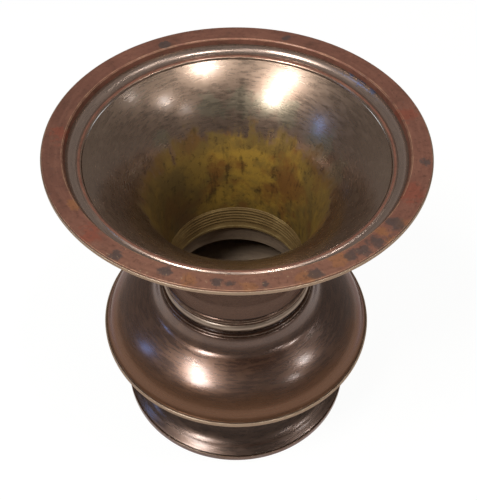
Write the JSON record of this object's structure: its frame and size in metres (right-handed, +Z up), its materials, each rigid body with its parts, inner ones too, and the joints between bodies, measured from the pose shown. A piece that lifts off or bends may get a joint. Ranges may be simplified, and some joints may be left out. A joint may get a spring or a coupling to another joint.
{
  "type": "bronze flower vase",
  "caption": "Bronze flower vase with a trumpet mouth, a bell shaped belly and a spreading foot, in stacked sections that lift apart.",
  "frame": {"origin": "on the table at the centre of the standing ring", "axes": "+Z up along the axis of the vase; the vase is round, so X and Y are any two level directions"},
  "size_m": [0.2856, 0.2856, 0.295],
  "materials": {
    "red_brown_bronze": "red-brown patina, satin, worn along the edges",
    "dark_bronze": "dark brown patina, waxed satin",
    "olive_bronze": "olive-gold water stained patina"
  },
  "bodies": {
    "foot": {"foot_ring": "dark_bronze", "foot_bell": "dark_bronze", "foot_collar": "dark_bronze"},
    "belly": {"belly_base": "dark_bronze", "belly_dome": "dark_bronze", "neck_collar": "dark_bronze", "waist_ring": "dark_bronze", "waist_stem": "dark_bronze", "floor_plate": "olive_bronze"},
    "mouth": {"mouth_rim": "red_brown_bronze", "mouth_bowl": "dark_bronze", "throat_sleeve": "olive_bronze"}
  },
  "joints": [
    {"name": "belly_lift", "type": "slide", "parent": "foot", "child": "belly", "axis": [0, 0, 1], "range_m": [0, 0.04]},
    {"name": "mouth_lift", "type": "slide", "parent": "belly", "child": "mouth", "axis": [0, 0, 1], "range_m": [0, 0.05]}
  ]
}
